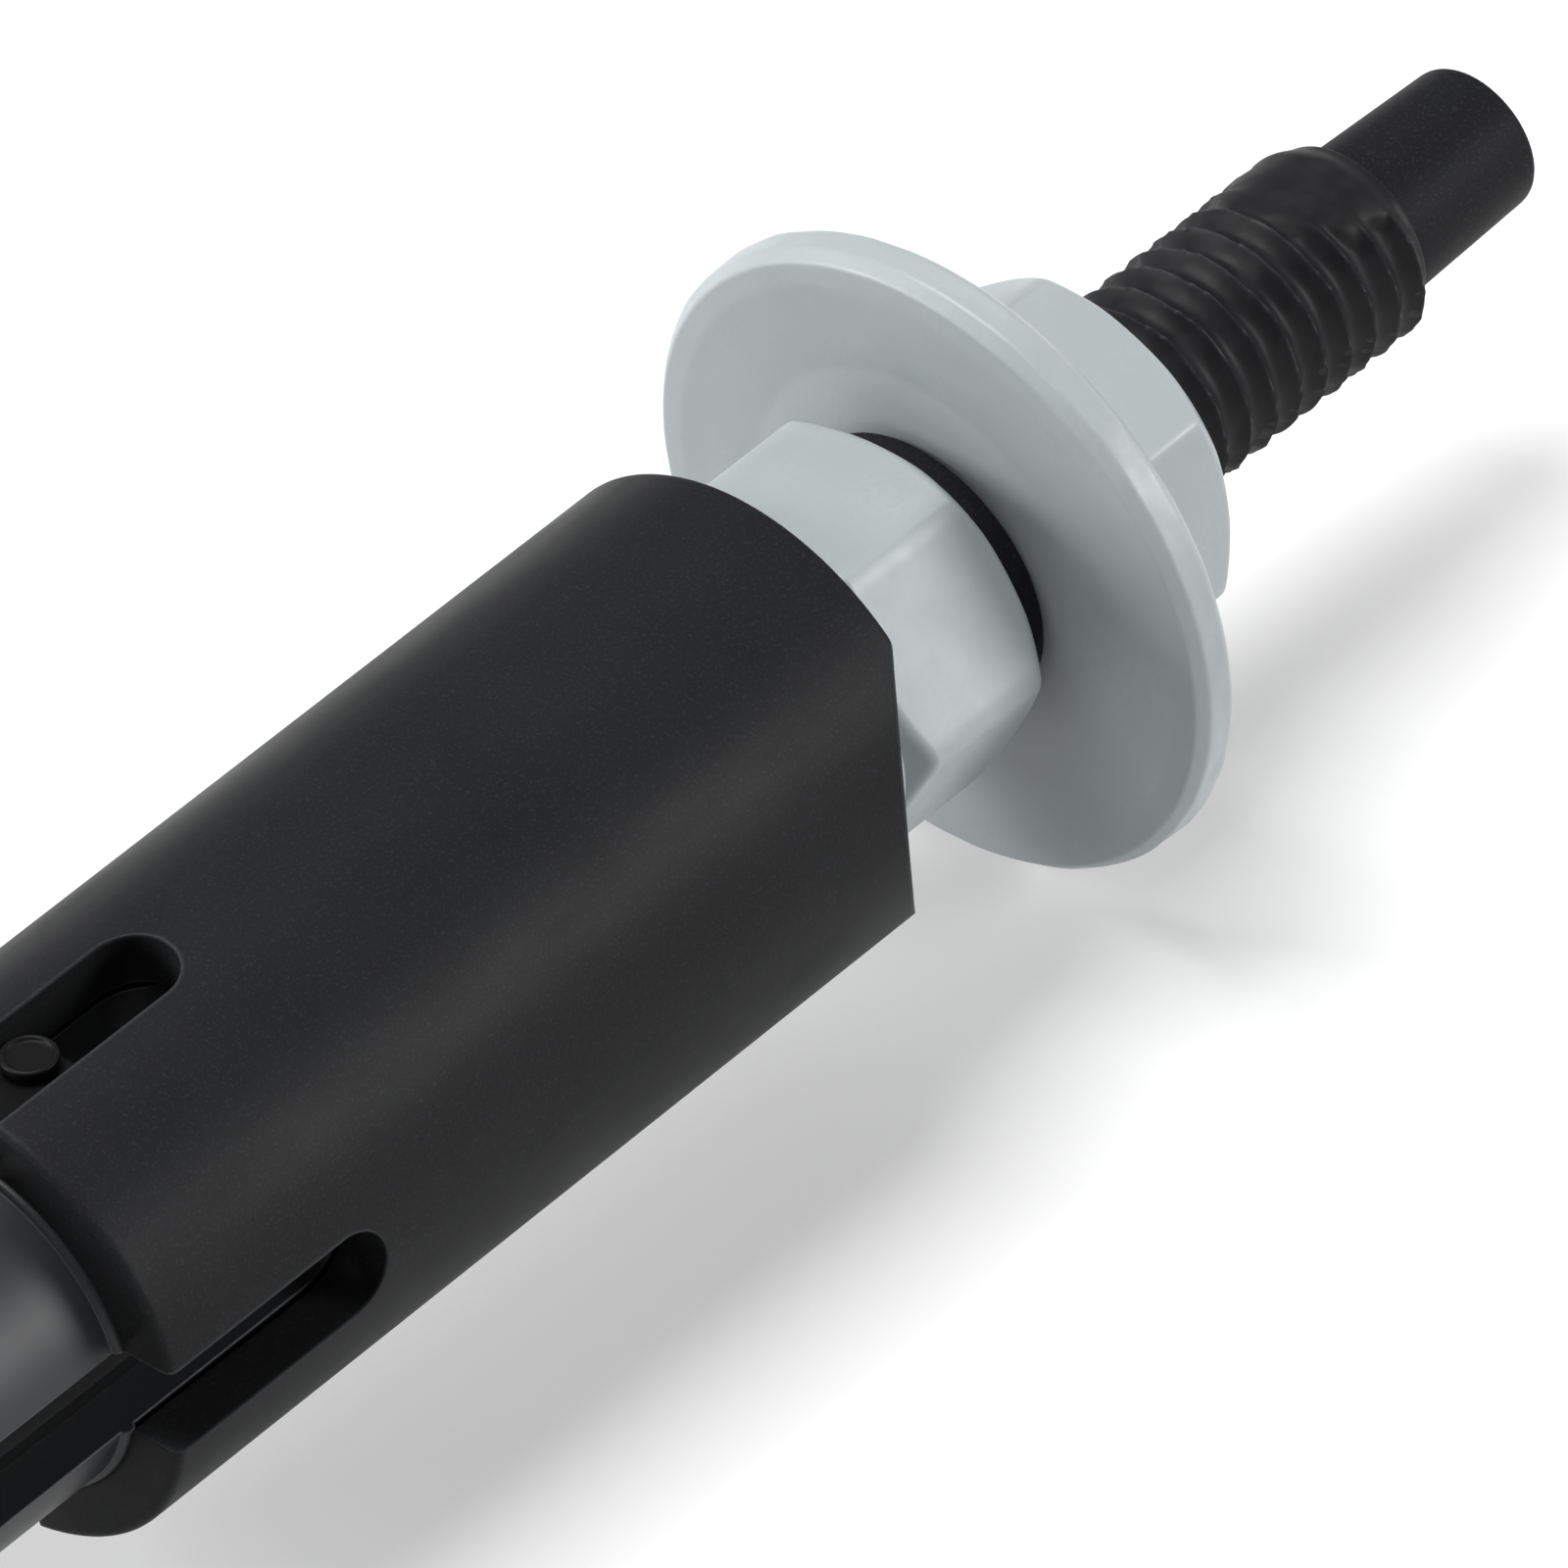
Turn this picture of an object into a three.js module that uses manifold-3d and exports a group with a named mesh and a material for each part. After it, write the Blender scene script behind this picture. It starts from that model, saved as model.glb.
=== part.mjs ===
// Desoldering pump with a spring plunger, lying on its side.
// The pump's axis runs along X: the nozzle points along +X and the thumb knob along -X.
// Places along the axis are measured from the barrel's front edge, in millimetres.
// Angles round the axis are measured from straight up towards -Y.

import * as THREE from 'three';
import { mergeVertices } from 'three/addons/utils/BufferGeometryUtils.js';
import Module from 'manifold-3d';

const wasm = await Module();
wasm.setup();

// ---- Driving sizes ----

const FIT = 0.3; // gap between pieces that touch, slide or screw together
const ROUND = 36; // sides of a large round
const SMALL_ROUND = 16; // sides of a small round
const MEDIUM_ROUND = 24; // sides of a rod, a sleeve or a small ring
const PAST = 1; // how far a cutter runs past the surface that it opens

const tube = { radius: 8.2, wall: 2.2, pastSlots: 1.4, sideSlot: 40, topSlotPastLever: 3 };
const barrel = { radius: 11, length: 47.5, edge: 0.6 };
const scallop = { radius: 10.7, depth: 3 }; // the hollows in the sides of the barrel's front edge
const slot = { width: 4.2, length: 12.5, count: 4 }; // the barrel's slots, which leave fingers at its rear
const plug = { apothem: 7.7, length: 8.9, spigot: 6, turn: 30, edge: 1, airway: 2, recess: 2 };
const guard = { radius: 15.2, thickness: 2.4, rimEdge: 0.5, apothem: 7.8, bossLength: 8.1, turn: 55, edge: 1.1 };
const nozzle = { base: 3.75, taper: 0.25, bore: 1.5, reach: 25.1, edge: 0.5 };
const stem = { radius: 4.7, seat: 7, collar: 6.6, collarLength: 1.2 }; // the nozzle's thick rear
const sleeve = { wall: 0.8, ribDepth: 0.4, visible: 16.8, pitch: 1.65, hidden: 3.4 };
const seal = { section: 0.8, groove: 2.4 };
const piston = { length: 5, stub: 1.9, fromTube: 0.3, endGap: 0.8 };
const nut = { apothem: 2.9, length: 1.5 };
const cleaner = { radius: 0.8, seat: 3, short: 0.6 };
const rod = { radius: 3, grooveDepth: 0.8 };
const guide = { length: 7, behindSlots: 2.1 };
const spring = { wire: 0.55, turns: 12, play: 0.7, spare: 4.7 };
const stop = { collar: 3, clip: 1, clipRadius: 4.8, bumper: 2 };
const bush = { length: 6, flange: 1.7 };
const rearNut = { rise: 1, wall: 2.2, edge: 1.2, grip: 5.7 };
const grip = { behindLever: 8.3, grooves: 5, grooveDepth: 0.6, grooveWidth: 2, edge: 1 };
const knob = { length: 12, clearance: 1.5, cornerRise: 1.8, bore: 7, dish: 0.6, face: 11, recess: 3 };
const lever = { sideGap: 0.4, rise: 0.2, thickness: 1.5, nose: 1.7, boss: 1.9, behindGuide: 5.9 };
const pad = { width: 10, length: 15, height: 3.2 };
const latch = { insideBarrel: 4.4, radius: 0.8, head: 1.25, headHeight: 0.4 };
const pivot = { behindBarrel: 16.5, depth: 1.6, radius: 0.7, length: 7.2 };
const leverSpring = { wire: 0.25, radius: 1.2, turns: 4, pocket: 1.5 };
const screw = { radius: 0.9, head: 1.9, headHeight: 1.1, driveWidth: 0.6, driveDepth: 0.45 };

// ---- Sizes that follow from them ----

const barrelBore = tube.radius + FIT;
const tubeBore = tube.radius - tube.wall;
const slidingRadius = barrelBore - FIT; // what slides or screws inside the barrel
const innerRadius = tubeBore - FIT; // what slides or seats inside the tube
const rodBore = rod.radius + FIT;
const nozzleBore = nozzle.base + FIT;
const stemBore = stem.radius + FIT;
const crest = nozzleBore + sleeve.wall;
const springRadius = tubeBore - spring.play - spring.wire;
const sealRadius = barrelBore - FIT / 3 - seal.section;
const sealFloor = slidingRadius - seal.section * 2;
const gripRadius = barrel.radius;
const leverWidth = slot.width - lever.sideGap * 2;
const leverLow = tube.radius + lever.rise;
const leverHigh = leverLow + lever.thickness;
const pivotUp = tube.radius - pivot.depth;
const knobCorner = guard.radius + knob.cornerRise;
const pocketFloor = innerRadius - leverSpring.pocket;

// ---- Places along the axis ----

const barrelRear = -barrel.length;
const slotTip = barrelRear + slot.length;
const tubeFront = slotTip + tube.pastSlots;
const collarAt = plug.length + FIT;
const guardRear = collarAt + stem.collarLength + FIT;
const guardFront = guardRear + guard.thickness;
const bossFront = guardFront + guard.bossLength;
const sleeveRear = bossFront - sleeve.hidden;
const sleeveFront = bossFront + sleeve.visible;
const nozzleFront = bossFront + nozzle.reach;
const nozzleRear = plug.length - stem.seat;
const stemFront = sleeveRear - FIT;
const pistonRear = tubeFront + piston.fromTube;
const pistonFront = pistonRear + piston.length;
const stroke = -plug.spigot - piston.endGap - pistonFront;
const latchAt = barrelRear + latch.insideBarrel;
const pivotAt = barrelRear - pivot.behindBarrel;
const grooveAt = latchAt - stroke;
const sideSlotRear = slotTip - tube.sideSlot;
const guideFront = sideSlotRear - guide.behindSlots;
const guideRear = guideFront - guide.length;
const guideMiddle = (guideFront + guideRear) / 2;
const leverRear = guideRear - lever.behindGuide;
const topSlotRear = leverRear - tube.topSlotPastLever;
const springFront = guideRear - FIT;
const springLength = stroke + spring.turns * spring.wire * 2 + spring.spare;
const springRear = springFront - springLength;
const collarFront = springRear - FIT;
const collarRear = collarFront - stop.collar;
const clipFront = collarRear - FIT;
const clipRear = clipFront - stop.clip;
const bumperFront = clipRear - FIT;
const bumperRear = bumperFront - stop.bumper;
const bushFront = bumperRear - FIT;
const tubeRear = bushFront - bush.length;
const bushRear = tubeRear - FIT - bush.flange;
const capRear = bushRear - FIT - rearNut.wall;
const gripRear = tubeRear + rearNut.grip;
const gripFront = leverRear - grip.behindLever;
const knobFront = capRear - stroke - knob.clearance;
const knobRear = knobFront - knob.length;
const rodRear = knobRear + knob.recess;
const middle = (nozzleFront + knobRear) / 2;

// ---- Materials ----

function finish(color, roughness, metalness = 0) {
  return new THREE.MeshStandardMaterial({ color, roughness, metalness });
}

const BLACK = [0x1a1b1d, 0.45];
const SATIN_BLACK = [0x141517, 0.35];
const RUBBER = [0x101112, 0.8];
const GREY = [0xb4bcbd, 0.4];
const STEEL = [0xb9bbbd, 0.3, 1];
const BRASS = [0xc39a4b, 0.35, 1];

// ---- Geometry helpers ----

// Turns a solid made round Y into one along X, keeping +Z as its start angle.
function alongX(geometry) {
  return geometry.rotateZ(-Math.PI / 2);
}

function outline(points) {
  return points.map(([x, radius]) => new THREE.Vector2(radius, x));
}

// A solid of revolution; the outline runs from the rear along the outside to the front.
function turned(points, sides = ROUND) {
  return alongX(new THREE.LatheGeometry(outline(points), sides));
}

// A turned ring, whose outline closes on itself.
function turnedRing(points, sides = ROUND) {
  return turned([...points, points[0]], sides);
}

function ring(rear, front, bore, radius, sides = ROUND) {
  return turnedRing([[rear, bore], [rear, radius], [front, radius], [front, bore]], sides);
}

function disc(rear, front, radius, sides = ROUND) {
  return turned([[rear, 0], [rear, radius], [front, radius], [front, 0]], sides);
}

// A prism along X with its corners at the given turn.
function prism(rear, front, apothem, turn, sides = 6) {
  const radius = apothem / Math.cos(Math.PI / sides);
  const start = THREE.MathUtils.degToRad(turn);
  const geometry = new THREE.CylinderGeometry(radius, radius, front - rear, sides, 1, false, start);
  return alongX(geometry).translate((front + rear) / 2, 0, 0);
}

function box(x, y, z, width, depth, height) {
  return new THREE.BoxGeometry(width, depth, height).translate(x, y, z);
}

// A round post between two heights.
function post(x, low, high, radius, sides = SMALL_ROUND) {
  const geometry = new THREE.CylinderGeometry(radius, radius, high - low, sides).rotateX(Math.PI / 2);
  return geometry.translate(x, 0, (low + high) / 2);
}

// A pin across the pump, centred on the axis plane.
function crossPin(x, z, length, radius, sides = SMALL_ROUND) {
  return new THREE.CylinderGeometry(radius, radius, length, sides).translate(x, 0, z);
}

// A round-ended slot cutter from low to high, turned round the axis by the angle.
function slotCutter(rear, front, low, high, angle) {
  const half = slot.width / 2;
  const shape = new THREE.Shape();
  shape.moveTo(rear + half, -half);
  shape.lineTo(front - half, -half);
  shape.absarc(front - half, 0, half, -Math.PI / 2, Math.PI / 2, false);
  shape.lineTo(rear + half, half);
  shape.absarc(rear + half, 0, half, Math.PI / 2, (Math.PI * 3) / 2, false);
  const options = { depth: high - low, bevelEnabled: false, curveSegments: 8 };
  return new THREE.ExtrudeGeometry(shape, options).translate(0, 0, low).rotateX(angle);
}

function roundSection(radius, sides) {
  const shape = new THREE.Shape();
  for (let i = 0; i < sides; i += 1) {
    const angle = (i / sides) * Math.PI * 2;
    shape[i ? 'lineTo' : 'moveTo'](radius * Math.cos(angle), radius * Math.sin(angle));
  }
  return shape;
}

class Helix extends THREE.Curve {
  constructor(radius, turns, length) {
    super();
    Object.assign(this, { radius, turns, length });
  }

  getPoint(t, target = new THREE.Vector3()) {
    const angle = t * this.turns * Math.PI * 2;
    return target.set(t * this.length, this.radius * Math.sin(angle), this.radius * Math.cos(angle));
  }
}

// A coil spring along X, starting at x = 0; the length is over the wire.
function coil({ wire, turns }, radius, length, stepsPerTurn) {
  const path = new Helix(radius, turns, length - wire * 2);
  const options = { steps: turns * stepsPerTurn, bevelEnabled: false, extrudePath: path };
  return new THREE.ExtrudeGeometry(roundSection(wire, 6), options).translate(wire, 0, 0);
}

function asSolid(geometry) {
  const plain = geometry.clone();
  plain.deleteAttribute('normal');
  plain.deleteAttribute('uv');
  const merged = mergeVertices(plain, 1e-4);
  const vertProperties = new Float32Array(merged.attributes.position.array);
  const triVerts = new Uint32Array(merged.index.array);
  return new wasm.Manifold(new wasm.Mesh({ numProp: 3, vertProperties, triVerts }));
}

function asGeometry(solid) {
  const { vertProperties, triVerts } = solid.getMesh();
  const geometry = new THREE.BufferGeometry();
  geometry.setAttribute('position', new THREE.BufferAttribute(new Float32Array(vertProperties), 3));
  geometry.setIndex(new THREE.BufferAttribute(new Uint32Array(triVerts), 1));
  geometry.computeVertexNormals();
  return geometry;
}

function cut(geometry, ...cutters) {
  return asGeometry(cutters.reduce((solid, cutter) => solid.subtract(asSolid(cutter)), asSolid(geometry)));
}

function join(geometry, ...others) {
  return asGeometry(others.reduce((solid, other) => solid.add(asSolid(other)), asSolid(geometry)));
}

function keepInside(geometry, limit) {
  return asGeometry(asSolid(geometry).intersect(asSolid(limit)));
}

// ---- Assembly ----

const pump = new THREE.Group();
pump.position.set(-middle, 0, guard.radius);

function add(name, geometry, look) {
  const mesh = new THREE.Mesh(geometry, finish(...look));
  mesh.name = name;
  pump.add(mesh);
  return mesh;
}

function sealGroove(x) {
  const half = seal.groove / 2;
  return [
    [x - half, slidingRadius],
    [x - half, sealFloor],
    [x + half, sealFloor],
    [x + half, slidingRadius],
  ];
}

function slotAngles() {
  return Array.from({ length: slot.count }, (_, i) => (i / slot.count) * Math.PI * 2);
}

function addBarrel() {
  const { radius, edge } = barrel;
  const shell = turnedRing([
    [barrelRear, barrelBore],
    [barrelRear, radius - edge],
    [barrelRear + edge, radius],
    [-edge, radius],
    [0, radius - edge],
    [0, barrelBore],
  ]);
  const openEnd = barrelRear - slot.width - PAST;
  const cutters = slotAngles().map((angle) => slotCutter(openEnd, slotTip, PAST, radius + PAST, angle));
  const hollowAt = scallop.radius - scallop.depth;
  const hollows = crossPin(hollowAt, 0, (radius + PAST) * 2, scallop.radius, ROUND * 2);
  add('front_barrel', cut(shell, ...cutters, hollows), BLACK);
}

function screwHole(side, from, to, radius) {
  const geometry = new THREE.CylinderGeometry(radius, radius, to - from, SMALL_ROUND);
  return geometry.translate(guideMiddle, (side * (from + to)) / 2, 0);
}

function addRearTube() {
  const shell = ring(tubeRear, tubeFront, tubeBore, tube.radius);
  const cutters = slotAngles().map((angle, i) => {
    const rear = i === 0 ? topSlotRear : sideSlotRear;
    return slotCutter(rear, slotTip, PAST, tube.radius + PAST, angle);
  });
  const pinHole = crossPin(pivotAt, pivotUp, tube.radius * 2, pivot.radius + FIT);
  const hole = screw.radius + FIT;
  const holes = [1, -1].map((side) => screwHole(side, tubeBore - PAST, tube.radius + PAST, hole));
  add('rear_tube', cut(shell, ...cutters, pinHole, ...holes), SATIN_BLACK);
}

function addPlug() {
  const { apothem, length, spigot, turn, edge, airway, recess } = plug;
  const cornerRadius = apothem / Math.cos(Math.PI / 6);
  const chamfer = turned([
    [FIT, 0],
    [FIT, cornerRadius - edge * 1.2],
    [FIT + edge, cornerRadius],
    [FIT + edge, cornerRadius + PAST],
    [length - edge, cornerRadius + PAST],
    [length - edge, cornerRadius],
    [length, cornerRadius - edge * 1.2],
    [length, 0],
  ]);
  const hex = keepInside(prism(0, length + PAST, apothem, turn), chamfer);
  const grooveMiddle = (seal.groove + 1) / 2 - spigot;
  const core = turned([
    [-spigot, 0],
    [-spigot, slidingRadius],
    ...sealGroove(grooveMiddle),
    [FIT * 2, slidingRadius],
    [FIT * 2, 0],
  ]);
  const through = disc(-spigot - PAST, length + PAST, airway, MEDIUM_ROUND);
  const nutRecess = disc(-spigot - PAST, recess - spigot, nozzleBore);
  const seat = disc(nozzleRear - FIT, length + PAST, stemBore);
  add('barrel_plug', cut(join(core, hex), through, nutRecess, seat), GREY);
  addSeal('plug_seal', grooveMiddle);
}

// An O-ring that fills a groove just inside the barrel's bore.
function addSeal(name, x) {
  const geometry = new THREE.TorusGeometry(sealRadius, seal.section, 6, ROUND).rotateY(Math.PI / 2);
  add(name, geometry.translate(x, 0, 0), RUBBER);
}

function addGuard() {
  const { radius, apothem, turn, edge, rimEdge } = guard;
  const cornerRadius = apothem / Math.cos(Math.PI / 6);
  const flange = turned([
    [guardRear, 0],
    [guardRear, radius - rimEdge],
    [guardRear + rimEdge, radius],
    [guardFront - rimEdge, radius],
    [guardFront, radius - rimEdge],
    [guardFront, 0],
  ]);
  const limit = turned([
    [guardRear, 0],
    [guardRear, cornerRadius + PAST],
    [bossFront - edge, cornerRadius + PAST],
    [bossFront - edge, cornerRadius],
    [bossFront, cornerRadius - edge * 1.2],
    [bossFront, 0],
  ]);
  const hex = keepInside(prism(guardRear + guard.thickness / 2, bossFront, apothem, turn), limit);
  const bore = disc(guardRear - PAST, bossFront, stemBore);
  const sleeveBore = disc(stemFront, bossFront + PAST, crest + FIT);
  add('finger_guard', cut(join(flange, hex), bore, sleeveBore), GREY);
}

function addNozzle() {
  const { base, bore, edge } = nozzle;
  const tip = base - nozzle.taper;
  add('nozzle', turnedRing([
    [nozzleRear, bore],
    [nozzleRear, stem.radius],
    [collarAt, stem.radius],
    [collarAt, stem.collar],
    [collarAt + stem.collarLength, stem.collar],
    [collarAt + stem.collarLength, stem.radius],
    [stemFront, stem.radius],
    [stemFront, base],
    [sleeveFront, base],
    [nozzleFront - edge, tip],
    [nozzleFront, tip - edge],
    [nozzleFront, bore],
  ], MEDIUM_ROUND), SATIN_BLACK);
}

function addSleeve() {
  const { pitch, hidden, visible } = sleeve;
  const root = crest - sleeve.ribDepth;
  const ribs = Math.floor((visible - pitch) / pitch);
  const points = [[sleeveRear, nozzleBore], [sleeveRear, crest]];
  for (let i = 0; i < ribs; i += 1) {
    const start = sleeveRear + hidden + i * pitch;
    points.push([start, crest], [start + pitch / 2, root]);
  }
  points.push([sleeveRear + hidden + ribs * pitch, crest]);
  points.push([sleeveFront, crest - sleeve.ribDepth], [sleeveFront, nozzleBore]);
  add('nozzle_sleeve', turnedRing(points, MEDIUM_ROUND), RUBBER);
}

function addPiston() {
  const grooveMiddle = (pistonRear + pistonFront) / 2;
  add('piston', turnedRing([
    [pistonRear, piston.stub + FIT],
    [pistonRear, slidingRadius],
    ...sealGroove(grooveMiddle),
    [pistonFront, slidingRadius],
    [pistonFront, piston.stub + FIT],
  ]), GREY);
  addSeal('piston_seal', grooveMiddle);
  const hex = prism(pistonFront + FIT, pistonFront + nut.length, nut.apothem, 0);
  const bore = disc(pistonFront, pistonFront + nut.length + PAST, piston.stub + FIT, SMALL_ROUND);
  add('piston_nut', cut(hex, bore), STEEL);
}

function addRod() {
  const { radius, grooveDepth } = rod;
  const stubFront = pistonFront + nut.length;
  const holeRadius = cleaner.radius + FIT;
  const grooveHalf = latch.radius + FIT * 2;
  const clipFloor = radius - grooveDepth;
  const shoulder = pistonRear - FIT;
  add('plunger_rod', turned([
    [rodRear, 0],
    [rodRear, radius],
    [clipRear - FIT, radius],
    [clipRear - FIT, clipFloor],
    [clipFront + FIT, clipFloor],
    [clipFront + FIT, radius],
    [grooveAt - grooveHalf, radius],
    [grooveAt - grooveHalf, radius - grooveDepth],
    [grooveAt + grooveHalf, radius - grooveDepth],
    [grooveAt + grooveHalf, radius],
    [shoulder, radius],
    [shoulder, piston.stub],
    [stubFront, piston.stub],
    [stubFront, holeRadius],
    [stubFront - cleaner.seat, holeRadius],
    [stubFront - cleaner.seat, 0],
  ], MEDIUM_ROUND), STEEL);
  const cleanerFront = nozzleFront - stroke - cleaner.short;
  const cleanerRear = stubFront - cleaner.seat + FIT;
  add('cleaning_pin', turned([
    [cleanerRear, 0],
    [cleanerRear, cleaner.radius],
    [cleanerFront - cleaner.radius, cleaner.radius],
    [cleanerFront, cleaner.radius / 3],
    [cleanerFront, 0],
  ], 12), STEEL);
}

function addGuide() {
  const body = ring(guideRear, guideFront, rodBore, innerRadius);
  const pocketRadius = leverSpring.radius + leverSpring.wire + FIT;
  const pocket = post(guideMiddle, pocketFloor, tubeBore + PAST, pocketRadius);
  const hole = screw.radius + FIT;
  const holes = [1, -1].map((side) => screwHole(side, rod.radius + PAST, tubeBore + PAST, hole));
  add('rod_guide', cut(body, pocket, ...holes), BRASS);
}

function addGuideScrews() {
  [['left', 1], ['right', -1]].forEach(([label, side]) => {
    const tip = rod.radius + PAST + FIT;
    const seat = tube.radius + FIT;
    const shank = screwHole(side, tip, seat + screw.headHeight / 2, screw.radius);
    const head = screwHole(side, seat, seat + screw.headHeight, screw.head);
    const top = side * (seat + screw.headHeight);
    const drive = box(guideMiddle, top, 0, screw.driveWidth, screw.driveDepth * 2, screw.head * 3);
    add(`guide_screw_${label}`, cut(join(shank, head), drive), STEEL);
  });
}

function addMainSpring() {
  const geometry = coil(spring, springRadius, springLength, 10);
  add('main_spring', geometry.translate(springRear, 0, 0), STEEL);
}

function addSpringStop() {
  add('spring_collar', ring(collarRear, collarFront, rodBore, innerRadius), BLACK);
  const inner = rod.radius - rod.grooveDepth + FIT;
  const open = Math.PI / 5;
  const shape = new THREE.Shape();
  shape.absarc(0, 0, stop.clipRadius, open, Math.PI * 2 - open, false);
  shape.absarc(0, 0, inner, Math.PI * 2 - open, open, true);
  const clip = new THREE.ExtrudeGeometry(shape, { depth: stop.clip, bevelEnabled: false, curveSegments: 14 });
  add('collar_clip', clip.rotateY(Math.PI / 2).translate(clipRear, 0, 0), STEEL);
  add('bumper_ring', ring(bumperRear, bumperFront, rodBore, innerRadius), RUBBER);
}

function addBush() {
  add('end_bush', turnedRing([
    [bushRear, rodBore],
    [bushRear, tube.radius],
    [tubeRear - FIT, tube.radius],
    [tubeRear - FIT, innerRadius],
    [bushFront, innerRadius],
    [bushFront, rodBore],
  ]), BRASS);
}

function addRearNut() {
  const { edge, rise } = rearNut;
  const apothem = gripRadius + rise;
  const cornerRadius = apothem / Math.cos(Math.PI / 6);
  const front = gripRear - FIT;
  const limit = turned([
    [capRear, 0],
    [capRear, cornerRadius - edge],
    [capRear + edge, cornerRadius],
    [front - edge, cornerRadius],
    [front, cornerRadius - edge],
    [front, 0],
  ]);
  const body = keepInside(prism(capRear, front, apothem, 30), limit);
  const seat = disc(bushRear - FIT, front + PAST, barrelBore);
  const through = disc(capRear - PAST, bushRear, rodBore);
  add('rear_nut', cut(body, seat, through), GREY);
}

function addGrip() {
  const { grooves, grooveDepth, grooveWidth, edge } = grip;
  const pitch = (gripFront - gripRear) / (grooves + 1);
  const points = [[gripRear, barrelBore], [gripRear, gripRadius - edge], [gripRear + edge, gripRadius]];
  for (let i = 1; i <= grooves; i += 1) {
    const x = gripRear + i * pitch;
    const half = grooveWidth / 2;
    points.push([x - half, gripRadius], [x, gripRadius - grooveDepth], [x + half, gripRadius]);
  }
  points.push([gripFront - edge * 2, gripRadius], [gripFront, gripRadius - edge * 1.5]);
  points.push([gripFront, barrelBore]);
  add('grip_sleeve', turnedRing(points), RUBBER);
}

function addKnob() {
  const { bore, face, dish, recess } = knob;
  const limit = turned([
    [knobRear, 0],
    [knobRear, face],
    [knobRear + 2.5, knobCorner - 1],
    [knobRear + 4.5, knobCorner],
    [knobFront - 3, knobCorner],
    [knobFront, face],
    [knobFront, 0],
  ]);
  const body = keepInside(prism(knobRear, knobFront, guard.radius, 30), limit);
  const capSeat = disc(knobRear - PAST, rodRear, bore);
  const through = disc(knobRear, knobFront + PAST, rodBore);
  add('thumb_knob', cut(body, capSeat, through), BLACK);
  add('knob_cap', disc(knobRear + dish, knobRear + recess - FIT, bore - FIT), GREY);
}

function leverProfile() {
  const noseFront = latchAt + lever.nose;
  const shape = new THREE.Shape();
  shape.moveTo(leverRear, leverLow);
  shape.lineTo(pivotAt - lever.boss, leverLow);
  shape.lineTo(pivotAt - lever.boss, pivotUp);
  shape.absarc(pivotAt, pivotUp, lever.boss, Math.PI, Math.PI * 2, false);
  shape.lineTo(pivotAt + lever.boss, leverLow);
  shape.lineTo(noseFront, leverLow);
  shape.lineTo(noseFront, leverHigh);
  shape.lineTo(leverRear, leverHigh);
  return shape;
}

// The pad's side view: a hollow for the thumb between two crests.
function padProfile() {
  const { length, height } = pad;
  const dip = height * 0.6;
  const shape = new THREE.Shape();
  shape.moveTo(0, 0);
  shape.lineTo(length, 0);
  shape.quadraticCurveTo(length - 1, height, length * 0.75, height);
  shape.quadraticCurveTo(length / 2, dip, 1, height);
  return shape;
}

// A side view made into a solid of the given width, centred on the middle plane.
function acrossPump(shape, width) {
  const options = { depth: width, bevelEnabled: false, curveSegments: 10 };
  return new THREE.ExtrudeGeometry(shape, options).rotateX(Math.PI / 2).translate(0, width / 2, 0);
}

function addLever() {
  const bar = acrossPump(leverProfile(), leverWidth);
  const pinHole = crossPin(pivotAt, pivotUp, leverWidth + PAST, pivot.radius + FIT);
  const latchHole = post(latchAt, leverLow - PAST, leverHigh + PAST, latch.radius + FIT);
  add('release_lever', cut(bar, pinHole, latchHole), BLACK);
  add('thumb_pad', acrossPump(padProfile(), pad.width).translate(leverRear, 0, leverHigh + FIT), GREY);
}

function addLatchPin() {
  const seat = leverHigh + FIT;
  const shank = post(latchAt, rodBore, seat + latch.headHeight / 2, latch.radius);
  const head = post(latchAt, seat, seat + latch.headHeight, latch.head);
  add('latch_pin', join(shank, head), BLACK);
}

function addPivot() {
  add('lever_pivot_pin', crossPin(pivotAt, pivotUp, pivot.length, pivot.radius), STEEL);
}

function addLeverSpring() {
  const bottom = pocketFloor + FIT;
  const length = leverLow - FIT - bottom;
  const geometry = coil(leverSpring, leverSpring.radius, length, 10).rotateY(-Math.PI / 2);
  add('lever_spring', geometry.translate(guideMiddle, 0, bottom), STEEL);
}

addBarrel();
addRearTube();
addPlug();
addGuard();
addNozzle();
addSleeve();
addPiston();
addRod();
addGuide();
addGuideScrews();
addMainSpring();
addSpringStop();
addBush();
addRearNut();
addGrip();
addKnob();
addLever();
addLatchPin();
addPivot();
addLeverSpring();

export default pump;
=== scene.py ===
"""Looks of a desoldering pump that lies on a pale floor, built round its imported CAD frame.

Lengths are in metres, in the frame's own axes: +X towards the nozzle, +Z up. Outlines are
lists of (x, radius, fillet) corners round the pump's axis. Angles round the axis are
measured from straight up towards -Y.
"""
import math

import bmesh
import bpy
from mathutils import Matrix, Vector, noise


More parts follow.
